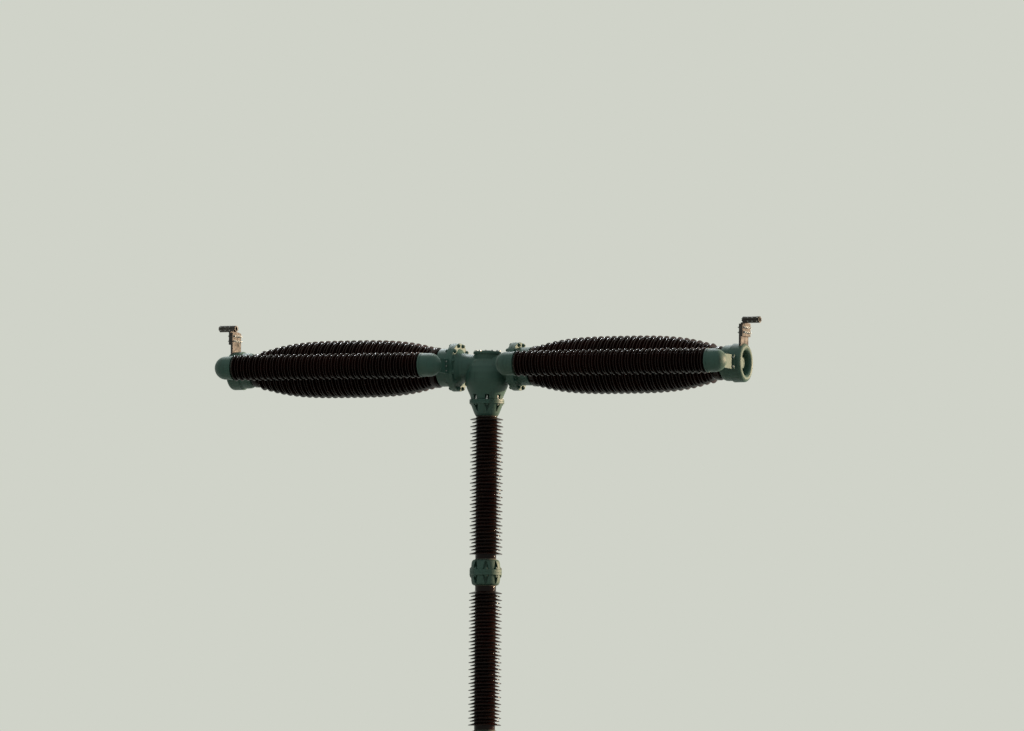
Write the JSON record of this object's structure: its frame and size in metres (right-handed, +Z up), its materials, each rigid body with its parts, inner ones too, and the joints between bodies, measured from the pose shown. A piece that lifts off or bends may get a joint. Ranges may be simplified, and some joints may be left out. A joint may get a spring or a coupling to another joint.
{
  "type": "live-tank circuit breaker pole",
  "caption": "Free-standing high-voltage circuit breaker pole: T head with barrel interrupter arms and grading capacitors on a shedded porcelain column, drive and lattice pedestal.",
  "frame": {"origin": "on the ground at the middle of the four feet's anchor bolts", "axes": "+X along the interrupter arms, -Y to the grading capacitors, +Z up the column"},
  "size_m": [5.747, 1.5689, 7.904],
  "materials": {
    "pedestal_paint": "satin",
    "casting_paint": "satin",
    "cabinet_paint": "satin",
    "brown_glaze": "gloss",
    "bare_aluminium": "matte",
    "galvanised_steel": "satin"
  },
  "bodies": {
    "root": {"leg_front_left": "pedestal_paint", "leg_front_right": "pedestal_paint", "leg_back_left": "pedestal_paint", "leg_back_right": "pedestal_paint", "lattice_front": "pedestal_paint", "lattice_back": "pedestal_paint", "lattice_left": "pedestal_paint", "lattice_right": "pedestal_paint", "head_frame": "pedestal_paint", "cabinet_rails": "pedestal_paint", "drive_housing": "casting_paint", "lower_column_base": "casting_paint", "lower_column_cap": "casting_paint", "upper_column_base": "casting_paint", "upper_column_cap": "casting_paint", "head_casting": "casting_paint", "head_cover": "casting_paint", "inner_fitting_left": "casting_paint", "inner_fitting_right": "casting_paint", "outer_fitting_left": "casting_paint", "outer_fitting_right": "casting_paint", "shield_ring_left": "casting_paint", "shield_ring_right": "casting_paint", "inner_cap_left": "casting_paint", "inner_cap_right": "casting_paint", "outer_cap_left": "casting_paint", "outer_cap_right": "casting_paint", "inner_brackets": "casting_paint", "outer_brackets": "casting_paint", "housing_covers": "cabinet_paint", "mechanism_cabinet": "cabinet_paint", "cabinet_door": "cabinet_paint", "lower_column_insulator": "brown_glaze", "upper_column_insulator": "brown_glaze", "interrupter_left": "brown_glaze", "interrupter_right": "brown_glaze", "capacitor_left": "brown_glaze", "capacitor_right": "brown_glaze", "terminal_pad_left": "bare_aluminium", "terminal_pad_right": "bare_aluminium", "terminal_clamp_left": "bare_aluminium", "terminal_clamp_right": "bare_aluminium", "rocker_lever": "galvanised_steel", "drive_rod": "galvanised_steel"}
  },
  "joints": []
}
